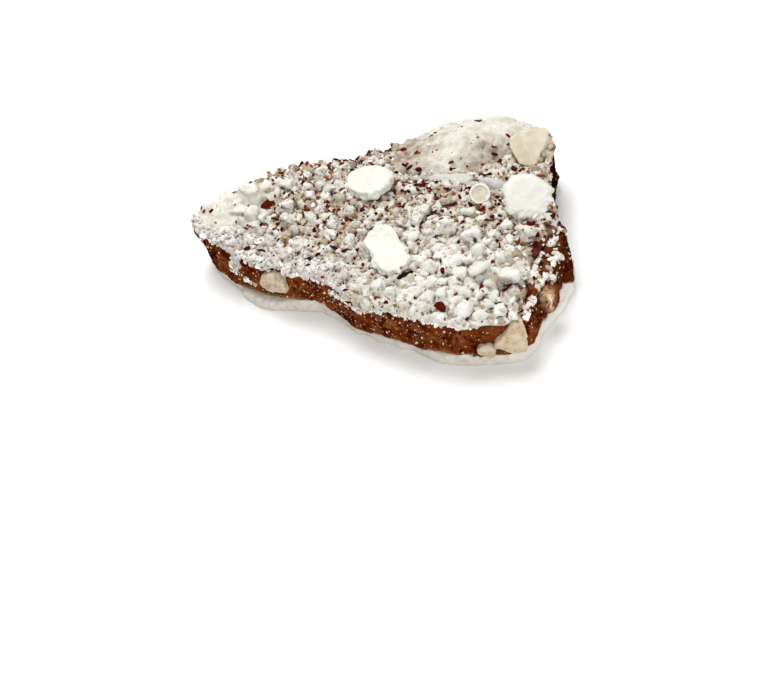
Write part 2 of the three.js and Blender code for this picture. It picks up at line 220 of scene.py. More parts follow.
def ripple(place, size, octaves=1, seed=0):
    """Smooth noise from about -1 to 1, with bumps of the given size in millimetres."""
    return noise.fractal(place / (size * MM) + Vector((seed, 0, seed)), 1.0, 2.0, octaves)


def note_on_points(piece, name, values):
    """Keeps one number for each point of a piece, for its material to read."""
    kept = piece.data.attributes.new(name, "FLOAT", "POINT")
    kept.data.foreach_set("value", np.array(values, np.float32))


def note_places(piece, name, measure):
    """Keeps measure(place) for each point of a piece."""
    note_on_points(piece, name, [measure(vertex.co) for vertex in piece.data.vertices])


def dress(piece, material, slot, *nodes):
    """Gives a finished piece its material and smooth shading, hangs it under the root, and hides the CAD
    nodes that it stands for.
    """
    piece.data.materials.clear()
    piece.data.materials.append(material)
    piece.data.shade_smooth()
    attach(piece, "root")
    if nodes:
        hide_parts(*nodes)


lower_coat = new_piece("lower_coat_dressed", copy_of("lower_coat"))
remesh(lower_coat, LOWER_COAT_NET, rounding=3)
carve(lower_coat, lambda place, normal: clamped(place.z / MM - 0.1) * (
    LOWER_COAT_SWELL
    + 0.10 * MM * ripple(place, 3.0, 2)
    + 0.16 * MM * max(0.0, ripple(place, 1.1, 2, seed=4)) * (1 - abs(normal.z))))


def new_mask(name, **inputs):
    """An empty node group that puts out a mask: (the group, its inputs)."""
    group = bpy.data.node_groups.new(name, "ShaderNodeTree")
    for socket, default in inputs.items():
        group.interface.new_socket(
            socket, in_out="INPUT", socket_type="NodeSocketFloat").default_value = default
    group.interface.new_socket("Mask", in_out="OUTPUT", socket_type="NodeSocketFloat")
    return group, group.nodes.new("NodeGroupInput").outputs


def reckoned(tree, operation, first, second, **settings):
    """The result of one step of arithmetic."""
    return add_node(
        tree, "ShaderNodeMath", {0: first, 1: second}, operation=operation, **settings).outputs[0]


def masked(tree, mask, **values):
    """The mask of a group, with the group's inputs set to these values."""
    group = add_node(tree, "ShaderNodeGroup", node_tree=mask)
    set_inputs(group.inputs, **values)
    return group.outputs["Mask"]


def grain(tree, scale, detail, roughness):
    """Noise from 0 to 1 that runs through the whole of a piece."""
    place = add_node(tree, "ShaderNodeTexCoord").outputs["Object"]
    return add_node(tree, "ShaderNodeTexNoise", {
        "Vector": place, "Scale": scale, "Detail": detail, "Roughness": roughness}).outputs["Fac"]


mottle, inputs = new_mask("mottle", Size=2.0, Contrast=1.0)
scale = reckoned(mottle, "DIVIDE", 1000.0, inputs["Size"])
centred = reckoned(mottle, "SUBTRACT", grain(mottle, scale, 4.0, 0.6), 0.5)
spread = reckoned(mottle, "MULTIPLY", centred, inputs["Contrast"])
mask = reckoned(mottle, "ADD", spread, 0.5, use_clamp=True)
mottle.links.new(mask, mottle.nodes.new("NodeGroupOutput").inputs["Mask"])


def mottled(tree, size, contrast):
    """A mask of soft patches of about size millimetres."""
    return masked(tree, mottle, Size=size, Contrast=contrast)


def mixed(tree, share, first, second):
    """Two colours mixed: first where share is 0 and second where it is 1."""
    mixer = add_node(tree, "ShaderNodeMix", {0: share, 6: first, 7: second}, data_type="RGBA")
    return mixer.outputs[2]


def noted(tree, name):
    """The number that note_on_points kept under this name."""
    return add_node(tree, "ShaderNodeAttribute", attribute_name=name).outputs["Fac"]


def bumped(tree, shader, size, depth):
    """Fine relief in the shading: a noise of the given size and depth, in millimetres."""
    height = grain(tree, 1000 / size, 3.0, 0.65)
    bump = add_node(tree, "ShaderNodeBump", {"Height": height, "Distance": depth * MM})
    tree.links.new(bump.outputs["Normal"], shader["Normal"])


def bell(place, x, y, reach):
    """How near a place is to a spot, given in millimetres: 1 on it, fading within its reach."""
    return math.exp(-((place.x / MM - x) ** 2 + (place.y / MM - y) ** 2) / reach ** 2)


def lip_and_lit_end(place):
    """1 on the pale lip along the toffee, and as painted light on the lit right end; 0 on the foot."""
    above_foot = 0.5 + 1.4 * (place.z / MM - 2.6 + 1.2 * ripple(place, 2.4, 2))
    return clamped(max(above_foot, 1.4 * bell(place, 31, -5, 9)))


note_places(lower_coat, "lip_and_painted_light", lip_and_lit_end)
material, tree, shader = new_material("lower_white_chocolate")
# Greyish white, partly painted shade; lighter on the real lip, and on the right end as painted light.
shaded_white = mixed(tree, mottled(tree, 3.5, 2.2), srgb(182, 174, 164), srgb(206, 199, 190))
shaded_white = mixed(tree, mottled(tree, 0.9, 3.0), shaded_white, srgb(218, 212, 203))
tree.links.new(mixed(tree, noted(tree, "lip_and_painted_light"), shaded_white, srgb(236, 231, 224)), shader["Base Color"])
set_inputs(
    shader, Roughness=0.5, Subsurface_Weight=0.12, Subsurface_Radius=(1.0, 0.8, 0.6),
    Subsurface_Scale=0.5 * MM)
bumped(tree, shader, size=0.35, depth=0.05)
dress(lower_coat, material, "lower_white_chocolate", "lower_coat")

# ---- The toffee
# Boiled sugar and butter, red-brown and glassy where it was snapped, with pale specks of ground nut. A tan
# seam shows where it meets the lower coat. The broken walls get a fracture relief; the faces under the
# coats stay plain.
TOFFEE_NET = 0.25 * MM
TOFFEE_SWELL = 0.17 * MM # closes the other half of the gap to the lower coat
SEAM_HEIGHT = 0.95 * MM # the seam fades out at this distance from the lower coat
DOT_SHARPNESS = 14.0


def fracture(place, normal):
    """Relief of the snapped toffee: shallow shells with a fine grain on them."""
    shells = 0.20 * MM * ripple(place, 2.2, 2) + 0.16 * MM * abs(ripple(place, 0.9, 2, seed=7))
    return TOFFEE_SWELL + shells * (1.0 if abs(normal.z) < 0.8 else 0.5)


toffee = new_piece("toffee_dressed", copy_of("toffee_slab"))
remesh(toffee, TOFFEE_NET, rounding=1)
carve(toffee, fracture)


def skin_of(piece):
    """A search tree of a piece's skin, to lay other things on it."""
    return BVHTree.FromObject(piece, bpy.context.evaluated_depsgraph_get())


def smeared(place):
    """1 where white chocolate of the lower coat was smeared up the right face, and 0 off it."""
    height = 2.7 + 0.3 * max(0.0, place.y / MM + 4) + 0.5 * ripple(place, 1.6, 2)
    height *= min(1.0, 2 * bell(place, 31.5, -5, 6))
    return clamped(0.5 + 3 * (height - place.z / MM))


def rear_wall_shade(place, normal):
    """1 on the rear right wall, which faces away from the lamps: there the toffee gets painted shade."""
    return clamped((place.y / MM - 2) / 4) * clamped(2.5 * normal.x)


laid_on = skin_of(lower_coat)
note_places(toffee, "seam", lambda place: max(0.0, 1 - laid_on.find_nearest(place)[3] / SEAM_HEIGHT))
note_places(toffee, "smear", smeared)
# Painted shade: nearly black on the rear right wall, and half as dark on the toffee near the right edge.
note_on_points(toffee, "painted_shade", [
    max(0.95 * rear_wall_shade(vertex.co, vertex.normal), 0.45 * bell(vertex.co, 28, 0, 6))
    for vertex in toffee.data.vertices])

speckle, inputs = new_mask("speckle", Spacing=2.0, Radius=0.3)
place = add_node(speckle, "ShaderNodeTexCoord").outputs["Object"]
scale = reckoned(speckle, "DIVIDE", 1000.0, inputs["Spacing"])
cells = add_node(speckle, "ShaderNodeTexVoronoi", {"Vector": place, "Scale": scale})
own_size = add_node(speckle, "ShaderNodeSeparateColor", {"Color": cells.outputs["Color"]}).outputs["Red"]
reach = reckoned(speckle, "MULTIPLY", own_size, inputs["Radius"])
distance = reckoned(speckle, "MULTIPLY", cells.outputs["Distance"], inputs["Spacing"])
inside = reckoned(speckle, "SUBTRACT", reach, distance)
mask = reckoned(speckle, "MULTIPLY", inside, DOT_SHARPNESS, use_clamp=True)
speckle.links.new(mask, speckle.nodes.new("NodeGroupOutput").inputs["Mask"])


def speckled(tree, spacing, radius):
    """A mask of dots of up to that radius, one for each spacing, in millimetres."""
    return masked(tree, speckle, Spacing=spacing, Radius=radius)


material, tree, shader = new_material("toffee")
brown = mixed(tree, mottled(tree, 2.6, 6.0), srgb(62, 9, 1), srgb(116, 50, 20))
shreds = mixed(tree, mottled(tree, 3.0, 6.0), srgb(66, 12, 2), srgb(124, 74, 40))
brown = mixed(tree, mottled(tree, 0.8, 9.0), brown, shreds)
brown = mixed(tree, speckled(tree, 1.7, 0.36), brown, srgb(156, 98, 48))
brown = mixed(tree, speckled(tree, 0.65, 0.17), brown, srgb(220, 180, 142))
brown = mixed(tree, noted(tree, "seam"), brown, srgb(158, 124, 70))
# The painted shade.
brown = mixed(tree, noted(tree, "painted_shade"), brown, srgb(22, 4, 1))
tree.links.new(mixed(tree, noted(tree, "smear"), brown, srgb(226, 219, 210)), shader["Base Color"])
gloss = add_node(tree, "ShaderNodeMapRange", {
    "Value": mottled(tree, 1.2, 2.5), "To Min": 0.35, "To Max": 0.7}).outputs["Result"]
tree.links.new(gloss, shader["Roughness"])
set_inputs(shader, Specular_IOR_Level=0.0)
bumped(tree, shader, size=0.30, depth=0.12)
dress(toffee, material, "toffee", "toffee_slab")

# ---- Almonds in the broken faces
# Chopped kernels that were snapped through with the toffee: matt and beige, with flat cut faces. Each solid
# keeps its facets and gets the fine grain of the nut. The one in the right face is soaked with caramel, and
# its middle gets a painted glow.
ALMOND_NET = 0.14 * MM
# Patches of painted glow on the kernel in the right face, as if light shone through it.
PAINTED_GLOW_PATCHES = [ # name, strength, half width and middle height in millimetres of a light patch
    ("warm_glow", 0.9, 1.2, 6.9), ("glow", 1.2, 0.85, 6.2)]
PAINTED_GLOW_MIDDLE = -6.2 # of both patches along the right face, in millimetres


def almond_material(name, dark, light, veins):
    """The cut face of a kernel: two tones in soft patches, with fine darker veins."""
    material, tree, shader = new_material(name)
    kernel = mixed(tree, mottled(tree, 1.6, 3.6), dark, light)
    kernel = mixed(tree, mottled(tree, 0.4, 4.0), kernel, veins)
    tree.links.new(kernel, shader["Base Color"])
    set_inputs(
        shader, Roughness=0.6, Specular_IOR_Level=0.15, Subsurface_Weight=0.1,
        Subsurface_Radius=(1.0, 0.7, 0.4), Subsurface_Scale=0.5 * MM)
    bumped(tree, shader, size=0.35, depth=0.14)
    return material


def tinted(material, name, colour):
    """Lays a colour over a material where the points of a piece are noted under this name."""
    tree, shader = material.node_tree, material.node_tree.nodes["Principled BSDF"].inputs
    plain = shader["Base Color"].links[0].from_socket
    tree.links.new(mixed(tree, noted(tree, name), plain, colour), shader["Base Color"])


almond = almond_material("almond", srgb(164, 140, 110), srgb(230, 218, 198), srgb(198, 178, 152))
pale_almond = almond_material("pale_almond", srgb(170, 142, 108), srgb(234, 220, 196), srgb(200, 178, 148))
candied = almond_material("candied_almond", srgb(62, 10, 1), srgb(120, 54, 22), srgb(96, 36, 10))
set_inputs(candied.node_tree.nodes["Principled BSDF"].inputs, Specular_IOR_Level=0.02)
# Painted glow on the soaked kernel: a warm orange patch, with a pale yellow one inside it.
tinted(candied, "warm_glow", srgb(158, 88, 44))
tinted(candied, "glow", srgb(236, 216, 178))
for name, finish in (
        ("almond_front_left", almond), ("almond_front_right", almond), ("almond_front_corner", pale_almond),
        ("almond_right_face", candied)):
    kernel = new_piece(name + "_dressed", copy_of(name))
    remesh(kernel, ALMOND_NET, rounding=2)
    carve(kernel, lambda place, normal: 0.10 * MM + 0.16 * MM * ripple(place, 0.9, 3))
    if finish is candied:
        for light, strength, width, height in PAINTED_GLOW_PATCHES:
            note_places(kernel, light, lambda place: (
                strength * min(1.0, 0.7 + ripple(place, 0.6, 3))
                * math.exp(
                    -((place.y / MM - PAINTED_GLOW_MIDDLE) / width) ** 2
                    - ((place.z / MM - height) / 2.4 / width) ** 2)))
    dress(kernel, finish, "chopped_almond", name)

# ---- The upper coat
# White chocolate, strewn with chopped almonds while it was soft. These are dropped on it from above, largest
# first, and remeshed with it into one crust. It stays smooth over the whole almond at the back, on the ledge
# in front of that and at the left tip, and is powdery along the front.
UPPER_COAT_NET = 0.21 * MM
SMOOTH_PLACES = [ # middle, half length and half width in millimetres, and the long axis's turn in degrees
    ((-0.2, 15.2), 12.5, 7.2, 52),
    ((-26.4, -14.4), 6.6, 5.0, 45),
    ((9.6, -17.6), 2.8, 1.0, 66),
]
LEDGE = [((5.2, 6.9), 7.0, 0.9, 20), ((10.6, 8.8), 3.4, 1.4, 18)]
POWDER_EDGE = -17.2 * MM # the powdery strip lies in front of this, as far as the first nuggets
POWDER_END = 4.0 * MM
FRONT_CORNER = (18, -13, 12) # middle and reach, in millimetres, of the stretch with the cleanest nuggets
LARGE_NUGGETS = [ # middle, length, width and height in millimetres, and turn in degrees
    (4.0, -3.3, 5.8, 3.8, 3.3, 75), (14.6, -3.2, 4.5, 3.4, 2.8, 20), (22.0, 1.5, 4.4, 3.2, 2.0, 0),
    (10.6, 1.3, 3.8, 2.2, 1.8, 30), (20.8, -9.2, 4.8, 3.3, 2.8, 75),
    (25.1, -8.1, 5.2, 3.5, 2.6, 40), (17.9, -11.1, 3.2, 2.7, 2.4, 40), (12.9, -15.3, 3.9, 2.9, 2.4, 20),
    (12.4, -19.0, 3.5, 2.9, 2.4, 90), (15.3, -17.6, 3.3, 2.7, 2.4, 90), (22.8, -17.4, 3.8, 3.4, 2.8, 30),
    (26.0, -16.8, 3.3, 3.0, 2.6, 60), (28.0, -14.6, 3.4, 2.8, 2.4, 60), (19.4, -14.6, 3.0, 2.6, 2.2, 10),
    (23.2, -13.2, 3.2, 2.6, 2.2, 70), (15.6, -13.2, 2.8, 2.4, 2.0, 50), (9.3, -11.0, 3.0, 2.4, 2.0, 30),
    (11.6, -8.0, 3.0, 2.2, 1.8, 60), (-3.4, -6.2, 3.6, 2.1, 1.6, -50), (-17.9, -11.1, 3.4, 2.9, 1.8, 40),
    (-21.4, -7.0, 3.4, 2.5, 1.6, 30), (-28.2, -15.4, 5.2, 4.0, 0.9, 45), (-25.2, -11.8, 4.6, 3.6, 0.9, 45),
    (-25.2, -14.6, 5.2, 4.2, 1.0, 20), (-21.6, -15.6, 4.4, 3.0, 0.9, 35), (-1.4, 1.4, 3.2, 1.9, 1.5, 70),
    (4.8, 6.8, 10.2, 1.7, 2.2, 20), (10.6, 8.8, 6.0, 2.4, 2.7, 15), (-17.4, -1.2, 3.4, 2.4, 1.8, 50),
    (-14.8, 0.6, 3.0, 2.4, 1.8, 40),
    (17.4, -5.4, 2.8, 2.2, 1.8, 30), (5.8, -7.6, 3.4, 2.0, 1.6, 60), (18.2, 1.8, 2.6, 2.2, 1.6, 20),
    (7.4, -19.4, 2.6, 2.2, 1.6, 20), (9.9, -19.8, 2.4, 2.0, 1.8, 60), (19.9, -19.9, 2.6, 2.2, 1.8, 20),
    (18.2, -16.6, 2.6, 2.0, 1.8, 40), (25.2, -12.4, 2.6, 2.2, 2.0, 20), (17.0, -7.8, 2.6, 2.0, 1.8, 60),
]
BEIGE_NUGGETS = [
    (8.9, -4.0, 5.8, 4.0, 2.2, 20), (-24.0, -8.8, 2.8, 2.4, 1.3, 45), (-10.4, -9.8, 3.2, 2.6, 1.6, 20),
    (-3.2, -12.6, 2.8, 1.8, 1.4, 70), (19.5, 5.2, 2.6, 2.0, 1.4, 40), (-12.2, -3.4, 2.6, 2.0, 1.4, 10),
]
SLICE_SPOT = Vector((10.5, 5.3)) * MM
SLICE_SURROUNDINGS = 3.4 * MM # nuggets keep off this round spot
NUGGETS = 320
NUGGET_TRIES = 60 * NUGGETS
FUSED_CRUMBS = 1300
KEPT_FACES = 0.6 # the share of the crust's faces that is left by collapsing the flattest ones
SKY = 40 * MM # what falls starts at this height
draw = random.Random(1943)
noise.seed_set(7)


def oval(place, middle, half_length, half_width, turn):
    """1 inside an oval that is given in millimetres and degrees, fading to 0 around it."""
    aside = Vector((place.x, place.y)) / MM - Vector(middle)
    aside.rotate(Matrix.Rotation(-math.radians(turn), 2))
    return clamped(2.75 - 2.2 * ((aside.x / half_length) ** 2 + (aside.y / half_width) ** 2))


def smoothness(place):
    """1 on the smooth stretches of the coat and 0 among the nuggets."""
    return max(oval(place, *stretch) for stretch in SMOOTH_PLACES + LEDGE)


def on_ledge(place):
    """1 on the ledge in front of the whole almond and 0 off it."""
    return max(oval(place, *stretch) for stretch in LEDGE)


def powderiness(place):
    """1 on the powdery strip along the front face and 0 off it."""
    in_front = (POWDER_EDGE + 0.8 * MM * ripple(place, 4) - place.y) / (1.2 * MM)
    before_end = (POWDER_END - place.x) / (2.5 * MM)
    return clamped(min(in_front, before_end))


def thinness(place):
    """How thin the coat is towards the right edge, where toffee shows between the crumbs: 0 to 1."""
    spread = max(bell(place, 27, 1.5, 7), bell(place, 29.5, -7, 4.5))
    spread += 0.5 * ripple(place, 3.0, 2, seed=11)
    return clamped(2.2 * (spread - 0.25))


def turned(turn, tilt):
    """A turn in plan, in degrees, with a random tilt of up to that many radians."""
    return Matrix.Rotation(math.radians(turn), 3, "Z") @ Matrix.Rotation(
        draw.uniform(-tilt, tilt), 3, "X") @ Matrix.Rotation(draw.uniform(-tilt, tilt), 3, "Y")


def leaning(slope):
    """The turn that lays a chip on a slope."""
    return UP.rotation_difference(slope).to_matrix()


def landing(x, y):
    """Where something that is dropped at (x, y) lands: the highest ground there, its slope and its name."""
    above = Vector((x, y, SKY))
    if any(skin.ray_cast(above, -UP)[0] for skin in keep_clear):
        return None, None, None
    hits = [(*skin.ray_cast(above, -UP)[:2], name) for name, skin in grounds.items()]
    hits = [hit for hit in hits if hit[0] is not None]
    return max(hits, key=lambda hit: hit[0].z) if hits else (None, None, None)


def fallen(count, smallest, largest, flatness, likely, longest=1.7):
    """Chips that fell on the shard where likely(place, ground) is high, mostly into the hollows."""
    chips = []
    while len(chips) < count:
        x, y = draw.uniform(low.x, high.x), draw.uniform(low.y, high.y)
        tries = [landing(x + draw.gauss(0, 0.6 * MM), y + draw.gauss(0, 0.6 * MM)) for _ in range(4)]
        tries = [found for found in tries if found[0] is not None and found[1].z > 0.35]
        if not tries:
            continue
        place, slope, ground = min(tries, key=lambda found: found[0].z)
        if draw.random() > likely(place, ground):
            continue
        width = smallest + (largest - smallest) * draw.random() ** 1.7
        size = Vector((width * draw.uniform(1.0, longest), width, width * flatness * draw.uniform(0.7, 1.3)))
        turn = leaning(slope) @ turned(draw.uniform(0, 360), 0.5)
        chips.append((place + slope * 0.12 * size.z, turn, size))
    return chips


def chip_shapes(count, cuts, detail, roughness=0.12):
    """Some broken lumps of size 1, as (points, faces): balls that random cuts have flattened."""
    shapes = []
    for _ in range(count):
        shape = bmesh.new()
        bmesh.ops.create_icosphere(shape, subdivisions=detail, radius=0.5)
        for _ in range(cuts):
            face = Vector((draw.gauss(0, 1), draw.gauss(0, 1), draw.gauss(0, 1))).normalized()
            depth = draw.uniform(0.20, 0.40)
            for vertex in shape.verts:
                vertex.co -= face * max(0.0, vertex.co.dot(face) - depth)
        for vertex in shape.verts:
            vertex.co *= 1 + draw.uniform(-roughness, roughness)
        shapes.append((
            np.array([vertex.co[:] for vertex in shape.verts]),
            np.array([[vertex.index for vertex in face.verts] for face in shape.faces])))
        shape.free()
    return shapes


def heap(shapes, chips):
    """One mesh of many chips, each given as (place, turn, size), and the number of points of each."""
    points, faces = [], []
    for number, (place, turn, size) in enumerate(chips):
        corners, sides = draw.choice(shapes)
        faces.append(sides + number * len(corners))
        points.append((corners * np.array(size)) @ np.array(turn).T + np.array(place))
    mesh = bpy.data.meshes.new("heap")
    mesh.from_pydata(np.concatenate(points), [], np.concatenate(faces))
    return mesh, len(corners)


def add_to_crust(name, shapes, chips, dullest, brightest):
    """Sinks chips into the upper coat, as ground for what falls later. Each gets a shade between the two."""
    mesh, _ = heap(shapes, chips)
    crust_shape.from_mesh(mesh)
    grounds[name] = BVHTree.FromPolygons(
        [point.co[:] for point in mesh.vertices], [face.vertices[:] for face in mesh.polygons])
    bpy.data.meshes.remove(mesh)
    lumps.extend((place, 0.5 * size.x, draw.uniform(dullest, brightest)) for place, _, size in chips)


upper_coat = new_piece("upper_coat_dressed", copy_of("upper_coat"))
remesh(upper_coat, UPPER_COAT_NET, rounding=4)
crust_shape = bmesh.new()
crust_shape.from_mesh(upper_coat.data)
grounds = {"toffee": skin_of(toffee), "coat": skin_of(upper_coat)}
keep_clear = [skin_of(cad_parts[name]) for name in (
    "flake_rear_left", "flake_middle", "flake_rear_right", "almond_rear")]
low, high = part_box("toffee_slab")
lumps = []

laid = [(landing(*SLICE_SPOT)[0], SLICE_SURROUNDINGS)]
for name, nuggets, dullest, brightest in (
        ("large_nuggets", LARGE_NUGGETS, 0.74, 0.98), ("beige_nuggets", BEIGE_NUGGETS, 0.78, 0.84)):
    chips = []
    for x, y, length, width, height, turn in nuggets:
        place = landing(x * MM, y * MM)[0]
        if place is not None:
            size = Vector((length, width, height)) * MM
            chips.append((place + UP * (0.16 * size.z), turned(turn, 0.15), size))
    laid += [(place, 0.85 * size.y) for place, _, size in chips]
    add_to_crust(name, chip_shapes(14, cuts=9, detail=3, roughness=0.02), chips, dullest, brightest)

chips = []
for _ in range(NUGGET_TRIES):
    x, y = draw.uniform(low.x, high.x), draw.uniform(low.y, high.y)
    place, slope, ground = landing(x, y)
    if ground != "coat" or slope.z < 0.5:
        continue
    if max(smoothness(place), powderiness(place), 0.6 * thinness(place)) > draw.uniform(0.1, 0.5):
        continue
    width = draw.uniform(0.9, 2.1) * MM * (1 + 0.9 * bell(place, *FRONT_CORNER))
    if any((place - other).length < 0.47 * (width + reach) for other, reach in laid):
        continue
    laid.append((place, width))
    size = Vector((width * draw.uniform(1.0, 1.6), width, width * draw.uniform(0.65, 0.9)))
    chips.append((place + UP * (0.10 * width), turned(draw.uniform(0, 360), 0.5), size))
    if len(chips) == NUGGETS:
        break
add_to_crust("nuggets", chip_shapes(14, cuts=7, detail=2, roughness=0.06), chips, 0.4, 0.95)


def left_by(*shares):
    """What is left of 1 after each of these shares is taken away in turn."""
    return math.prod(1 - share for share in shares)


def with_fused_crumbs(place, ground):
    """How likely a crumb fuses with the coat: seldom on large nuggets and smooth or thin stretches."""
    if ground == "toffee":
        return 0.0
    if "_nuggets" in ground:
        return 0.04
    return left_by(0.97 * smoothness(place), 0.93 * bell(place, *FRONT_CORNER), 0.65 * thinness(place))


chips = fallen(
    FUSED_CRUMBS, smallest=0.5 * MM, largest=1.9 * MM, flatness=0.7, likely=with_fused_crumbs)
add_to_crust("fused_crumbs", chip_shapes(14, cuts=7, detail=2), chips, 0.0, 0.9)


def facets(place, size, seed=0):
    """Relief of broken facets of the given size, each leaning its own way, from about -1 to 1."""
    place = place / size + Vector((seed, seed, 0))
    middle = noise.voronoi(place)[1][0]
    lean = noise.noise_vector(middle * 31.7)
    return 2.4 * (place - middle).dot(lean) + 0.8 * lean.z


def crust(place, normal):
    """Relief of the upper coat: grit where nuts were strewn, powder in front, soft swells elsewhere."""
    smooth, powder = smoothness(place), powderiness(place)
    fine = facets(place, 0.55 * MM, seed=3)
    loose = 0.14 * MM * facets(place, 1.1 * MM) + 0.09 * MM * fine + 0.07 * MM * ripple(place, 0.6, 2)
    loose *= 1 - 0.55 * bell(place, *FRONT_CORNER)
    swells = 0.16 * MM * ripple(place, 2.2, 3)
    grit = powder * (0.14 * MM * fine + 0.16 * MM * ripple(place, 1.6, 2))
    return 0.10 * MM + (1 - 0.75 * smooth) * (loose + grit) + smooth * swells + 0.25 * MM * on_ledge(place)


def belonging(place):
    """The shade of the lump that a point of the crust belongs to, and 1 where it lies between lumps."""
    share, number = min(
        (distance / lumps[number][1], number) for _, number, distance in middles.find_n(place, 6))
    between = clamped(4 * (share - 1.05))
    shade = (1 - between) * lumps[number][2] + between * (0.25 + 0.4 * ripple(place, 0.8, 2))
    return shade + (1 - shade) * 0.45 * bell(place, 15, -12, 14), between


def note_hollows(piece, rounds, depth, weight=lambda place: 1.0):
    """Keeps how deep each point lies below the skin around it: 1 in hollows of that depth, 0 on ridges."""
    places, normals, level = (np.empty(3 * len(piece.data.vertices)) for _ in range(3))
    piece.data.vertices.foreach_get("co", places)
    piece.data.vertices.foreach_get("normal", normals)
    worked(piece, ("SMOOTH", {"factor": 0.8, "iterations": rounds})).vertices.foreach_get("co", level)
    below = ((level - places) * normals).reshape(-1, 3).sum(axis=1) / depth
    shares = np.array([weight(vertex.co) for vertex in piece.data.vertices])
    note_on_points(piece, "hollow", np.clip(0.05 + 1.2 * below, 0, 1) * shares)


middles = KDTree(len(lumps))
for number, lump in enumerate(lumps):
    middles.insert(lump[0], number)
middles.balance()
crust_shape.to_mesh(upper_coat.data)
crust_shape.free()
remesh(upper_coat, UPPER_COAT_NET, rounding=1)
carve(upper_coat, lambda place, normal: crust(place, normal) if normal.z > -0.5 else 0.1 * MM)
upper_coat.data = worked(upper_coat, ("DECIMATE", {"ratio": KEPT_FACES}))
belongings = [belonging(vertex.co) for vertex in upper_coat.data.vertices]
note_on_points(upper_coat, "shade", [shade for shade, _ in belongings])
note_on_points(upper_coat, "bare", [
    between * thinness(vertex.co) for vertex, (_, between) in zip(upper_coat.data.vertices, belongings)])
note_on_points(upper_coat, "dust", [
    clamped(2.1 - 2 * shade) * (1 - 0.9 * bell(vertex.co, 18, -14, 11))
    for vertex, (shade, _) in zip(upper_coat.data.vertices, belongings)])
# Darker around the front of the smooth stretch at the back: partly brown stains, partly painted shade.
note_places(upper_coat, "mound_front_stain_and_shade", lambda place: max(bell(place, 8, 13, 5), 0.85 * bell(place, -7, 9, 5)))
note_places(upper_coat, "ledge", lambda place: 0.8 * on_ledge(place))
note_places(upper_coat, "smooth", smoothness)
note_places(upper_coat, "powder", powderiness)
# How much painted shade and dust the hollows get, with a little over the whole crust.
note_hollows(upper_coat, rounds=14, depth=0.21 * MM, weight=lambda place: (
    1.05 + 0.2 * bell(place, *FRONT_CORNER) - 0.1 * powderiness(place) - 0.6 * smoothness(place)))
grounds = {"toffee": grounds["toffee"], "coat": skin_of(upper_coat)}


def ramped(tree, value, stops):
    """A colour that follows a value: stops are (value, colour)."""
    ramp = add_node(tree, "ShaderNodeValToRGB", {"Fac": value})
    ramp.color_ramp.elements.remove(ramp.color_ramp.elements[1])
    ramp.color_ramp.elements[0].position, ramp.color_ramp.elements[0].color = stops[0]
    for position, colour in stops[1:]:
        ramp.color_ramp.elements.new(position).color = colour
    return ramp.outputs["Color"]


def dusted(tree, colour, mask, share, dust):
    """A colour with dust over it where the mask is high, as much as share says."""
    return mixed(tree, reckoned(tree, "MULTIPLY", mask, share), colour, dust)


def chocolate_finish(shader):
    """The sheen of white chocolate and the little light that enters it."""
    set_inputs(
        shader, Roughness=0.5, Specular_IOR_Level=0.15, Subsurface_Weight=0.1,
        Subsurface_Radius=(1.0, 0.8, 0.6), Subsurface_Scale=0.4 * MM)


material, tree, shader = new_material("upper_white_chocolate")
crumb = ramped(tree, noted(tree, "shade"), (
    (0.0, srgb(150, 120, 84)), (0.25, srgb(188, 172, 144)), (0.45, srgb(214, 205, 187)),
    (0.7, srgb(233, 230, 220)), (1.0, srgb(247, 246, 240))))
dust = noted(tree, "dust")
crumb = dusted(tree, crumb, mottled(tree, 0.4, 4.0), dust, mixed(tree, 0.6, srgb(134, 114, 84), crumb))
crumb = dusted(tree, crumb, speckled(tree, 0.7, 0.19), dust, srgb(122, 74, 40))
bare_toffee = mixed(tree, mottled(tree, 1.0, 4.0), srgb(40, 5, 1), srgb(104, 34, 8))
crumb = mixed(tree, noted(tree, "bare"), crumb, bare_toffee)
powder = mixed(tree, mottled(tree, 2.8, 6.0), srgb(220, 213, 206), srgb(255, 254, 252))
powder = dusted(tree, powder, mottled(tree, 0.6, 5.0), 0.4, srgb(164, 146, 134))
powder = mixed(tree, speckled(tree, 1.0, 0.3), powder, srgb(132, 74, 54))
cream = mixed(tree, mottled(tree, 2.4, 3.5), srgb(214, 210, 196), srgb(246, 244, 233))
# Brown stains and painted shade on the front of the smooth stretch.
stain_and_shade = mixed(tree, mottled(tree, 1.2, 5.0), srgb(126, 98, 68), srgb(196, 182, 160))
cream = mixed(tree, noted(tree, "mound_front_stain_and_shade"), cream, stain_and_shade)
cream = mixed(tree, speckled(tree, 1.5, 0.34), cream, srgb(142, 106, 60))
cream = mixed(tree, speckled(tree, 0.9, 0.2), cream, srgb(156, 128, 92))
skin = mixed(tree, noted(tree, "powder"), crumb, powder)
skin = mixed(tree, noted(tree, "smooth"), skin, cream)
skin = mixed(tree, noted(tree, "ledge"), skin, srgb(214, 212, 210))
skin = dusted(tree, skin, mottled(tree, 0.3, 7.0), 0.10, srgb(104, 82, 58))
# The hollows of the crust are darkened: partly painted shade, partly almond dust that gathers there.
tree.links.new(mixed(tree, noted(tree, "hollow"), skin, srgb(74, 46, 26)), shader["Base Color"])
chocolate_finish(shader)
bumped(tree, shader, size=0.30, depth=0.30)
dress(upper_coat, material, "upper_white_chocolate", "upper_coat")

# ---- The slice of almond
# A thin round slice with a raised rim that lies near the ledge and leans towards the front corner. It is a
# disc of which the top is sunk in, worked over like the other almonds.
SLICE_RADIUS = 1.8 * MM
SLICE_TOP_RADIUS = 1.65 * MM
SLICE_DEPTH = 0.9 * MM
SLICE_RIM = 0.4 * MM
SLICE_SINK = 0.25 * MM
SLICE_LIFT = 0.7 * MM # of its middle above the coat
SLICE_LEAN = Vector((0.45, -0.45, 0.75))

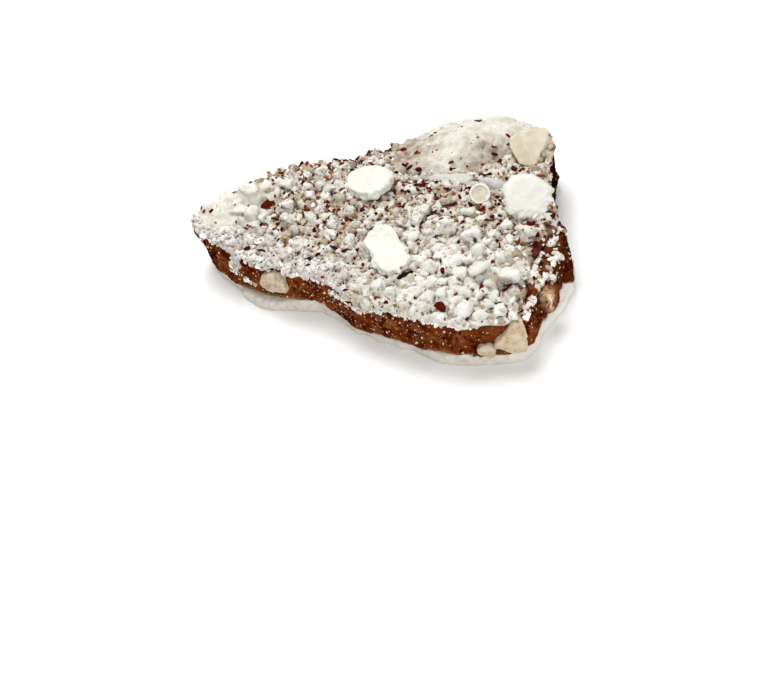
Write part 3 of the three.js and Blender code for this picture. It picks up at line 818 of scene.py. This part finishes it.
disc = bmesh.new()
bmesh.ops.create_cone(
    disc, cap_ends=True, segments=28, radius1=SLICE_RADIUS, radius2=SLICE_TOP_RADIUS, depth=SLICE_DEPTH)
top = max(disc.faces, key=lambda face: face.normal.z)
bmesh.ops.inset_region(disc, faces=[top], thickness=SLICE_RIM, depth=-SLICE_SINK)
spot = landing(*SLICE_SPOT)[0] + UP * SLICE_LIFT
bmesh.ops.transform(
    disc, verts=disc.verts, matrix=Matrix.Translation(spot) @ leaning(SLICE_LEAN).to_4x4())
almond_slice = new_piece("almond_slice", disc)
remesh(almond_slice, ALMOND_NET, rounding=1)
carve(almond_slice, lambda place, normal: 0.10 * MM * ripple(place, 0.9, 3))
middle = sum((vertex.co for vertex in almond_slice.data.vertices), Vector())
middle /= len(almond_slice.data.vertices)
note_places(almond_slice, "rim", lambda place: clamped(5 * (place - middle).length / SLICE_RADIUS - 3.7))
sliced = almond_material("sliced_almond", srgb(184, 173, 154), srgb(232, 225, 210), srgb(208, 200, 184))
tinted(sliced, "rim", srgb(248, 246, 238))
dress(almond_slice, sliced, "chopped_almond")
keep_clear.append(skin_of(almond_slice))

# ---- The loose flakes
# Three thick flakes of white chocolate, creamy and matt, that were dropped on last. They are smooth on top
# and crumbled at the rim.
FLAKE_NET = 0.18 * MM
CREASE_SPOT = Vector((0.4, -13.0)) # on the middle flake, in millimetres
ACROSS_CREASE = Vector((-0.56, 0.83))

material, tree, shader = new_material("white_chocolate_flake")
cream = mixed(tree, mottled(tree, 3.0, 2.5), srgb(216, 214, 205), srgb(227, 226, 220))
cream = mixed(tree, speckled(tree, 1.8, 0.3), cream, srgb(120, 96, 70))
# Painted shade in the hollows of the flakes.
rim = mixed(tree, noted(tree, "hollow"), cream, srgb(206, 200, 186))
tree.links.new(rim, shader["Base Color"])
chocolate_finish(shader)
bumped(tree, shader, size=0.5, depth=0.05)


def plane_down(piece, share):
    """Flattens the top of a flake, down to a share of its height above its middle."""
    places = np.empty(3 * len(piece.data.vertices))
    piece.data.vertices.foreach_get("co", places)
    places = places.reshape(-1, 3)
    middle = places.mean(axis=0)
    up = np.linalg.svd(places - middle, full_matrices=False)[2][2]
    up *= np.sign(up[2])
    height = (places - middle) @ up
    places -= np.outer(np.maximum(0, height - share * height.max()), up)
    piece.data.vertices.foreach_set("co", places.ravel())
    piece.data.update()


def crumpled(place):
    """Relief of the rear end of the middle flake, which crumpled behind a crease."""
    behind = (Vector((place.x, place.y)) / MM - CREASE_SPOT).dot(ACROSS_CREASE)
    crease = 0.14 * math.exp(-(behind / 0.3) ** 2)
    return MM * (clamped(2 * behind) * (0.25 * ripple(place, 1.1, 3, seed=6) - 0.1) - crease)


for name, share in (("flake_rear_left", 0.6), ("flake_middle", 0.55), ("flake_rear_right", 0.85)):
    flake = new_piece(name + "_dressed", copy_of(name))
    remesh(flake, FLAKE_NET, rounding=1)
    plane_down(flake, share)
    flake.data = worked(flake, ("SMOOTH", {"factor": 0.5, "iterations": 6}))
    if name == "flake_middle":
        carve(flake, lambda place, normal: crumpled(place) * max(0.0, normal.z))
    carve(flake, lambda place, normal: (
        0.05 * MM
        + 0.09 * MM * ripple(place, 2.0, 3)
        + max(0.0, 0.9 - abs(normal.z)) * (
            0.30 * MM * ripple(place, 2.0, seed=2) + 0.80 * MM * ripple(place, 1.2, 3, seed=4))))
    note_hollows(flake, rounds=8, depth=0.3 * MM)
    dress(flake, material, "white_chocolate_flake", name)

# ---- The almond on the rear corner
# Half a blanched kernel that was snapped off, with a flat creamy face. It lies against the upper coat, and
# its back kept some brown skin.
REAR_ALMOND_NET = 0.18 * MM
SKIN_SIDE = Vector((0.75, 0.62, -0.2))

rear_almond = new_piece("almond_rear_dressed", copy_of("almond_rear"))
remesh(rear_almond, REAR_ALMOND_NET, rounding=3)
carve(rear_almond, lambda place, normal: 0.10 * MM * ripple(place, 1.9, 3))
note_on_points(rear_almond, "skin", [
    clamped(2.5 * (vertex.normal.dot(SKIN_SIDE) - 0.15 - 0.5 * abs(ripple(vertex.co, 1.6, 2, seed=5))))
    for vertex in rear_almond.data.vertices])

material, tree, shader = new_material("rear_almond")
kernel = mixed(tree, mottled(tree, 3.0, 3.0), srgb(206, 196, 168), srgb(226, 219, 196))
kernel = mixed(tree, speckled(tree, 2.6, 0.3), kernel, srgb(190, 160, 112))
skin = mixed(tree, mottled(tree, 1.5, 9.0), srgb(66, 26, 10), srgb(216, 190, 168))
tree.links.new(mixed(tree, noted(tree, "skin"), kernel, skin), shader["Base Color"])
set_inputs(shader, Roughness=0.55, Specular_IOR_Level=0.2)
bumped(tree, shader, size=0.4, depth=0.08)
dress(rear_almond, material, "rear_almond", "almond_rear")

# ---- Large flecks of skin
# Curled bits of almond skin and slivers of dark toffee that are big enough to be told apart, and one black
# sliver that is a painted shadow in the gap under the middle flake: middle, length, width, turn in degrees,
# and shade, which is 0 where they are nearly black.
LARGE_FLECKS = [
    (-21.6, -11.5, 3.0, 1.7, 60, 0.5), (-20.2, -12.8, 1.9, 0.7, -40, 0.4), (-18.6, -14.2, 2.2, 1.0, 20, 0.3),
    (-17.1, -13.7, 1.8, 0.7, 60, 0.3), (-23.6, -7.4, 1.8, 1.0, -30, 0.7), (-29.5, -17.3, 1.1, 0.8, 80, 0.5),
    (-4.4, 5.9, 1.8, 1.1, 20, 0.4), (-2.9, 6.2, 1.5, 0.9, 60, 0.5), (-5.6, 5.8, 1.3, 0.8, 0, 0.3),
    (-1.5, 2.9, 2.4, 1.2, 20, 0.5), (0.2, 2.9, 1.8, 1.0, 60, 0.45), (-1.1, 0.9, 1.2, 0.7, 0, 0.1),
    (4.4, 4.1, 1.6, 0.7, 30, 0.3), (9.9, 3.2, 1.6, 0.9, 10, 0.2), (12.5, 2.9, 1.5, 0.9, 50, 0.45),
    (13.3, 6.2, 1.1, 0.7, 20, 0.4), (15.4, 1.6, 1.4, 0.8, 60, 0.4), (16.6, -15.7, 1.4, 0.6, 70, 0.1),
    (-0.7, 2.7, 1.4, 0.9, 70, 0.4), (-4.9, 1.6, 1.1, 0.9, 80, 0.5), (7.9, 0.9, 2.5, 0.8, 40, 0.4),
    (18.9, -18.3, 2.3, 2.0, 0, 0.45), (14.9, -11.8, 2.0, 1.0, -30, 0.45), (26.3, -9.7, 1.5, 0.9, 40, 0.45),
    (20.9, 4.0, 1.7, 0.9, 60, 0.3), (24.4, 0.6, 1.9, 1.1, 30, 0.3), (13.6, -10.4, 1.3, 0.8, 10, 0.4),
    (15.1, 2.2, 1.1, 0.7, 20, 0.4), (6.1, -3.0, 1.7, 0.5, 60, 0.0), (11.2, -1.0, 1.5, 0.6, 70, 0.4),
    (1.6, 9.6, 1.1, 0.5, 50, 0.5), (-5.3, 9.0, 1.2, 0.5, 50, 0.5), (7.7, 10.3, 1.6, 0.7, 40, 0.3),
    (6.1, 15.6, 1.3, 0.6, 30, 0.5), (-8.4, 9.5, 1.6, 0.8, 40, 0.6), (-15.9, -21.0, 1.8, 0.9, 10, 0.2),
    (-18.6, -21.3, 1.4, 0.8, 40, 0.2), (-7.5, -18.7, 1.4, 0.7, 0, 0.2), (-5.1, 14.6, 1.2, 0.6, 30, 0.5),
    (7.9, 14.7, 1.3, 0.7, 60, 0.4), (6.9, 19.0, 1.2, 0.6, 10, 0.6), (-13.1, 3.9, 0.8, 0.6, 0, 0.0),
    (-6.1, 4.2, 0.8, 0.6, 40, 0.0), (-0.1, 19.8, 0.9, 0.7, 30, 0.1), (11.2, 13.9, 2.0, 0.5, -20, 0.1),
    # (10.2, -15.7) is the painted shadow under the middle flake's edge.
    (10.2, -15.7, 3.2, 1.2, 65, 0.0), (12.7, 2.5, 1.4, 0.7, 30, 0.4), (14.6, 0.9, 1.2, 0.6, 60, 0.4),
    (-16.6, 1.7, 1.8, 1.1, 30, 0.6), (-15.5, 2.5, 1.6, 1.0, 60, 0.55), (-14.5, 3.2, 1.7, 1.0, 10, 0.5),
    (-11.4, 4.1, 1.3, 0.8, 40, 0.5), (6.7, 15.0, 1.4, 0.8, 20, 0.5),
    (8.3, 14.2, 1.2, 0.6, 70, 0.4), (20.2, 2.8, 1.2, 0.8, 50, 0.4), (26.9, -10.8, 2.0, 1.1, 60, 0.2),
    (7.2, 10.3, 1.2, 0.8, 10, 0.5), (0.5, 19.6, 0.7, 0.6, 0, 0.1), (7.8, 18.1, 1.5, 0.5, 55, 0.6),
    (-4.7, 9.0, 1.3, 0.6, 40, 0.9), (-5.1, 13.4, 0.9, 0.6, 0, 0.9), (2.4, 9.0, 0.8, 0.4, 40, 0.2),
    (5.9, 12.5, 0.9, 0.5, 30, 0.7), (8.3, 11.1, 2.2, 0.6, 45, 0.3), (-0.2, -6.9, 1.6, 0.5, 70, 0.2),
    (-6.2, -20.4, 1.8, 0.7, 0, 0.3), (-4.6, -15.4, 1.9, 0.8, 10, 0.2), (-6.2, -18.0, 1.6, 0.7, 40, 0.2),
    (20.3, 1.5, 1.4, 0.9, 0, 0.45), (21.1, 7.2, 1.6, 1.0, 40, 0.4), (22.9, 5.7, 1.4, 0.9, 10, 0.3),
    (11.6, 13.6, 1.9, 0.8, -30, 0.3), (12.9, 13.5, 1.2, 0.7, -50, 0.3), (22.4, 7.5, 1.5, 1.0, 30, 0.4),
    (23.9, 6.7, 1.4, 0.9, 60, 0.4), (22.6, 2.4, 1.6, 1.0, 20, 0.4),
]


def crumb_material(name, gloss, stops):
    """A matt crumb whose colour follows its shade."""
    material, tree, shader = new_material(name)
    tree.links.new(ramped(tree, noted(tree, "shade"), stops), shader["Base Color"])
    set_inputs(shader, Roughness=0.6, Specular_IOR_Level=gloss)
    bumped(tree, shader, size=0.2, depth=0.06)
    return material


skin_brown = crumb_material("almond_skin", 0.03, (
    (0.0, srgb(18, 6, 3)), (0.2, srgb(54, 12, 2)), (0.5, srgb(84, 14, 3)), (0.8, srgb(110, 32, 7)),
    (1.0, srgb(152, 88, 42))))
chips, shades = [], []
for x, y, length, width, turn, shade in LARGE_FLECKS:
    place, slope, _ = landing(x * MM, y * MM)
    if place is not None:
        size = Vector((length, width, 0.45 * width)) * MM
        chips.append((place + slope * 0.3 * size.z, leaning(slope) @ turned(turn, 0.3), size))
        shades.append(shade)
mesh, corners = heap(chip_shapes(10, cuts=6, detail=3, roughness=0.04), chips)
flecks = placed("large_flecks_and_painted_shadow", mesh)
note_on_points(flecks, "shade", np.repeat(shades, corners))
carve(flecks, lambda place, normal: 0.12 * MM * ripple(place, 0.8, 2))
dress(flecks, skin_brown, "chopped_almond")
keep_clear.append(skin_of(flecks))

# ---- Loose crumbs
# What fell off when nuts and chocolate were chopped: white crumbs, beige almond crumbs, and red-brown
# flecks of almond skin. Each kind is one mesh of separate chips, made from a few shapes that are turned and
# sized at random.
BARE_TOFFEE = [(27, 1, 8), (30.5, -8, 5)] # middle and reach, in millimetres, along the right edge
WHITE_CRUMBS = 600
TOFFEE_CRUMBS = 210 # white crumbs on the bare toffee
ALMOND_CRUMBS = 800
SKIN_FLECKS = 1200


def strew(name, shapes, chips, material, slot, dullest=0.0):
    """One piece from many chips, each with a shade up to 1."""
    mesh, corners = heap(shapes, chips)
    piece = placed(name, mesh)
    note_on_points(piece, "shade", np.repeat([draw.uniform(dullest, 1) for _ in chips], corners))
    dress(piece, material, slot)
    mesh.shade_flat()
    return skin_of(piece)


white = crumb_material("white_crumb", 0.2, (
    (0.0, srgb(172, 160, 148)), (0.25, srgb(206, 198, 186)), (0.6, srgb(234, 230, 221)),
    (1.0, srgb(248, 247, 243))))
beige = crumb_material("almond_crumb", 0.2, (
    (0.0, srgb(124, 96, 64)), (0.3, srgb(166, 146, 116)), (0.7, srgb(202, 189, 166)),
    (1.0, srgb(226, 218, 200))))


def on_bare_toffee(place):
    """How thickly crumbs lie on the bare toffee along the right edge, which they cover in patches."""
    if max(bell(place, *stretch) for stretch in BARE_TOFFEE) < 0.3 or place.z < 5 * MM:
        return 0.0
    return clamped(0.4 + 1.9 * ripple(place, 2.0, 2, seed=9))


def with_white_crumbs(place, ground):
    """How likely a white crumb stays: seldom on smooth stretches and at the front corner."""
    if ground == "toffee":
        return 0.0
    return left_by(
        0.97 * smoothness(place), 0.93 * bell(place, *FRONT_CORNER), 0.5 * thinness(place),
        0.9 * on_ledge(place))


def with_almond_crumbs(place, ground):
    """How likely an almond crumb stays: mostly in the middle and to the right of it."""
    strewn = on_bare_toffee(place) if ground == "toffee" else (1 - 0.6 * thinness(place)) * (
        0.05 + 0.9 * bell(place, -8, -4, 15) + 0.6 * bell(place, 19, 4, 9) + 0.3 * bell(place, 12, -6, 8))
    return strewn * left_by(0.97 * smoothness(place), 0.9 * powderiness(place))


def with_flecks(place, ground):
    """How likely a fleck of skin stays: seldom in powder, on smooth stretches and at the front corner."""
    strewn = 0.25 + 0.75 * max(bell(place, -12, -1, 15), bell(place, 3, 3, 8), bell(place, 20, 4, 6))
    strewn *= on_bare_toffee(place) if ground == "toffee" else 1
    return strewn * left_by(
        0.8 * powderiness(place), 0.93 * smoothness(place), 0.82 * bell(place, 16, -14, 12))


white_chips = chip_shapes(14, cuts=8, detail=2)
chips = fallen(
    WHITE_CRUMBS, smallest=0.3 * MM, largest=1.2 * MM, flatness=0.65, likely=with_white_crumbs)
chips += fallen(
    TOFFEE_CRUMBS, smallest=0.3 * MM, largest=1.3 * MM, flatness=0.7,
    likely=lambda place, ground: on_bare_toffee(place) if ground == "toffee" else 0.0)
grounds["white_crumbs"] = strew("white_crumbs", white_chips, chips, white, "upper_white_chocolate")
grounds["almond_crumbs"] = strew(
    "almond_crumbs", chip_shapes(10, cuts=8, detail=2),
    fallen(ALMOND_CRUMBS, smallest=0.3 * MM, largest=0.85 * MM, flatness=0.6, likely=with_almond_crumbs),
    beige, "chopped_almond")
strew(
    "skin_flecks", chip_shapes(10, cuts=7, detail=2),
    fallen(
        SKIN_FLECKS, smallest=0.22 * MM, largest=0.85 * MM, flatness=0.45, likely=with_flecks,
        longest=1.9),
    skin_brown, "chopped_almond", dullest=0.22)

# ---- Crumbs on the broken faces
# White crumbs cling in tufts where chocolate ran over the front face, and pale grit of ground almond sits
# in the toffee all round.
TUFTS = [ # middle along the front face and in height, and half width and half height, in millimetres
    (-21.4, 5.6, 0.9, 1.6), (-18.6, 3.9, 1.1, 0.4), (-15.5, 8.3, 3.0, 0.5), (-7.0, 8.3, 4.0, 0.4),
    (1.0, 7.8, 2.0, 0.6), (4.8, 6.8, 1.1, 1.0), (8.2, 8.0, 1.0, 0.7), (13.0, 8.5, 3.0, 0.3),
    (20.0, 8.5, 4.0, 0.3),
]
TUFT_DENSITY = 30
IN_FRONT = -40 * MM # the rays that find the tufts start there
GRAINS = 420
GRAINS_FROM, GRAINS_TO = 2.8 * MM, 7.8 * MM # heights on the toffee's faces
SLAB_MIDDLE = Vector((2, -4, 0)) * MM
OUTSIDE = 60 * MM # the rays that find the grains start this far off


def clinging(start, heading, size):
    """A chip that sticks to the first toffee or coat that a ray from the side meets."""
    hits = [grounds[name].ray_cast(start, heading) for name in ("toffee", "coat")]
    hits = [hit for hit in hits if hit[0] is not None]
    if not hits:
        return None
    place, slope = min(hits, key=lambda hit: hit[3])[:2]
    return place, leaning(slope) @ turned(draw.uniform(0, 360), 0.5), size


def some_size(smallest, largest):
    """The size of a chip, more often near the smallest."""
    width = smallest + (largest - smallest) * draw.random() ** 1.5
    return Vector((width * draw.uniform(1.0, 1.5), width, width * draw.uniform(0.5, 0.9)))


tufts = []
for x, z, half_width, half_height in TUFTS:
    for _ in range(round(TUFT_DENSITY * half_width * math.sqrt(half_height))):
        start = Vector((
            draw.gauss(x, 0.6 * half_width) * MM, IN_FRONT, draw.gauss(z, 0.6 * half_height) * MM))
        tufts.append(clinging(start, Vector((0, 1, 0)), some_size(0.25 * MM, 0.85 * MM)))
strew("clinging_crumbs", chip_shapes(10, cuts=5, detail=2), [found for found in tufts if found], white,
      "upper_white_chocolate")

grit = []
for _ in range(GRAINS):
    way = draw.uniform(0, 2 * math.pi)
    heading = Vector((-math.cos(way), -math.sin(way), 0))
    height = draw.uniform(GRAINS_FROM, GRAINS_TO)
    start = SLAB_MIDDLE - heading * OUTSIDE + UP * height
    aside = Vector((heading.y, -heading.x, 0)) * draw.uniform(-14, 14) * MM
    grit.append(clinging(start + aside, heading, some_size(0.16 * MM, 0.6 * MM)))
strew("almond_grit", chip_shapes(8, cuts=6, detail=1), [found for found in grit if found], beige,
      "chopped_almond")
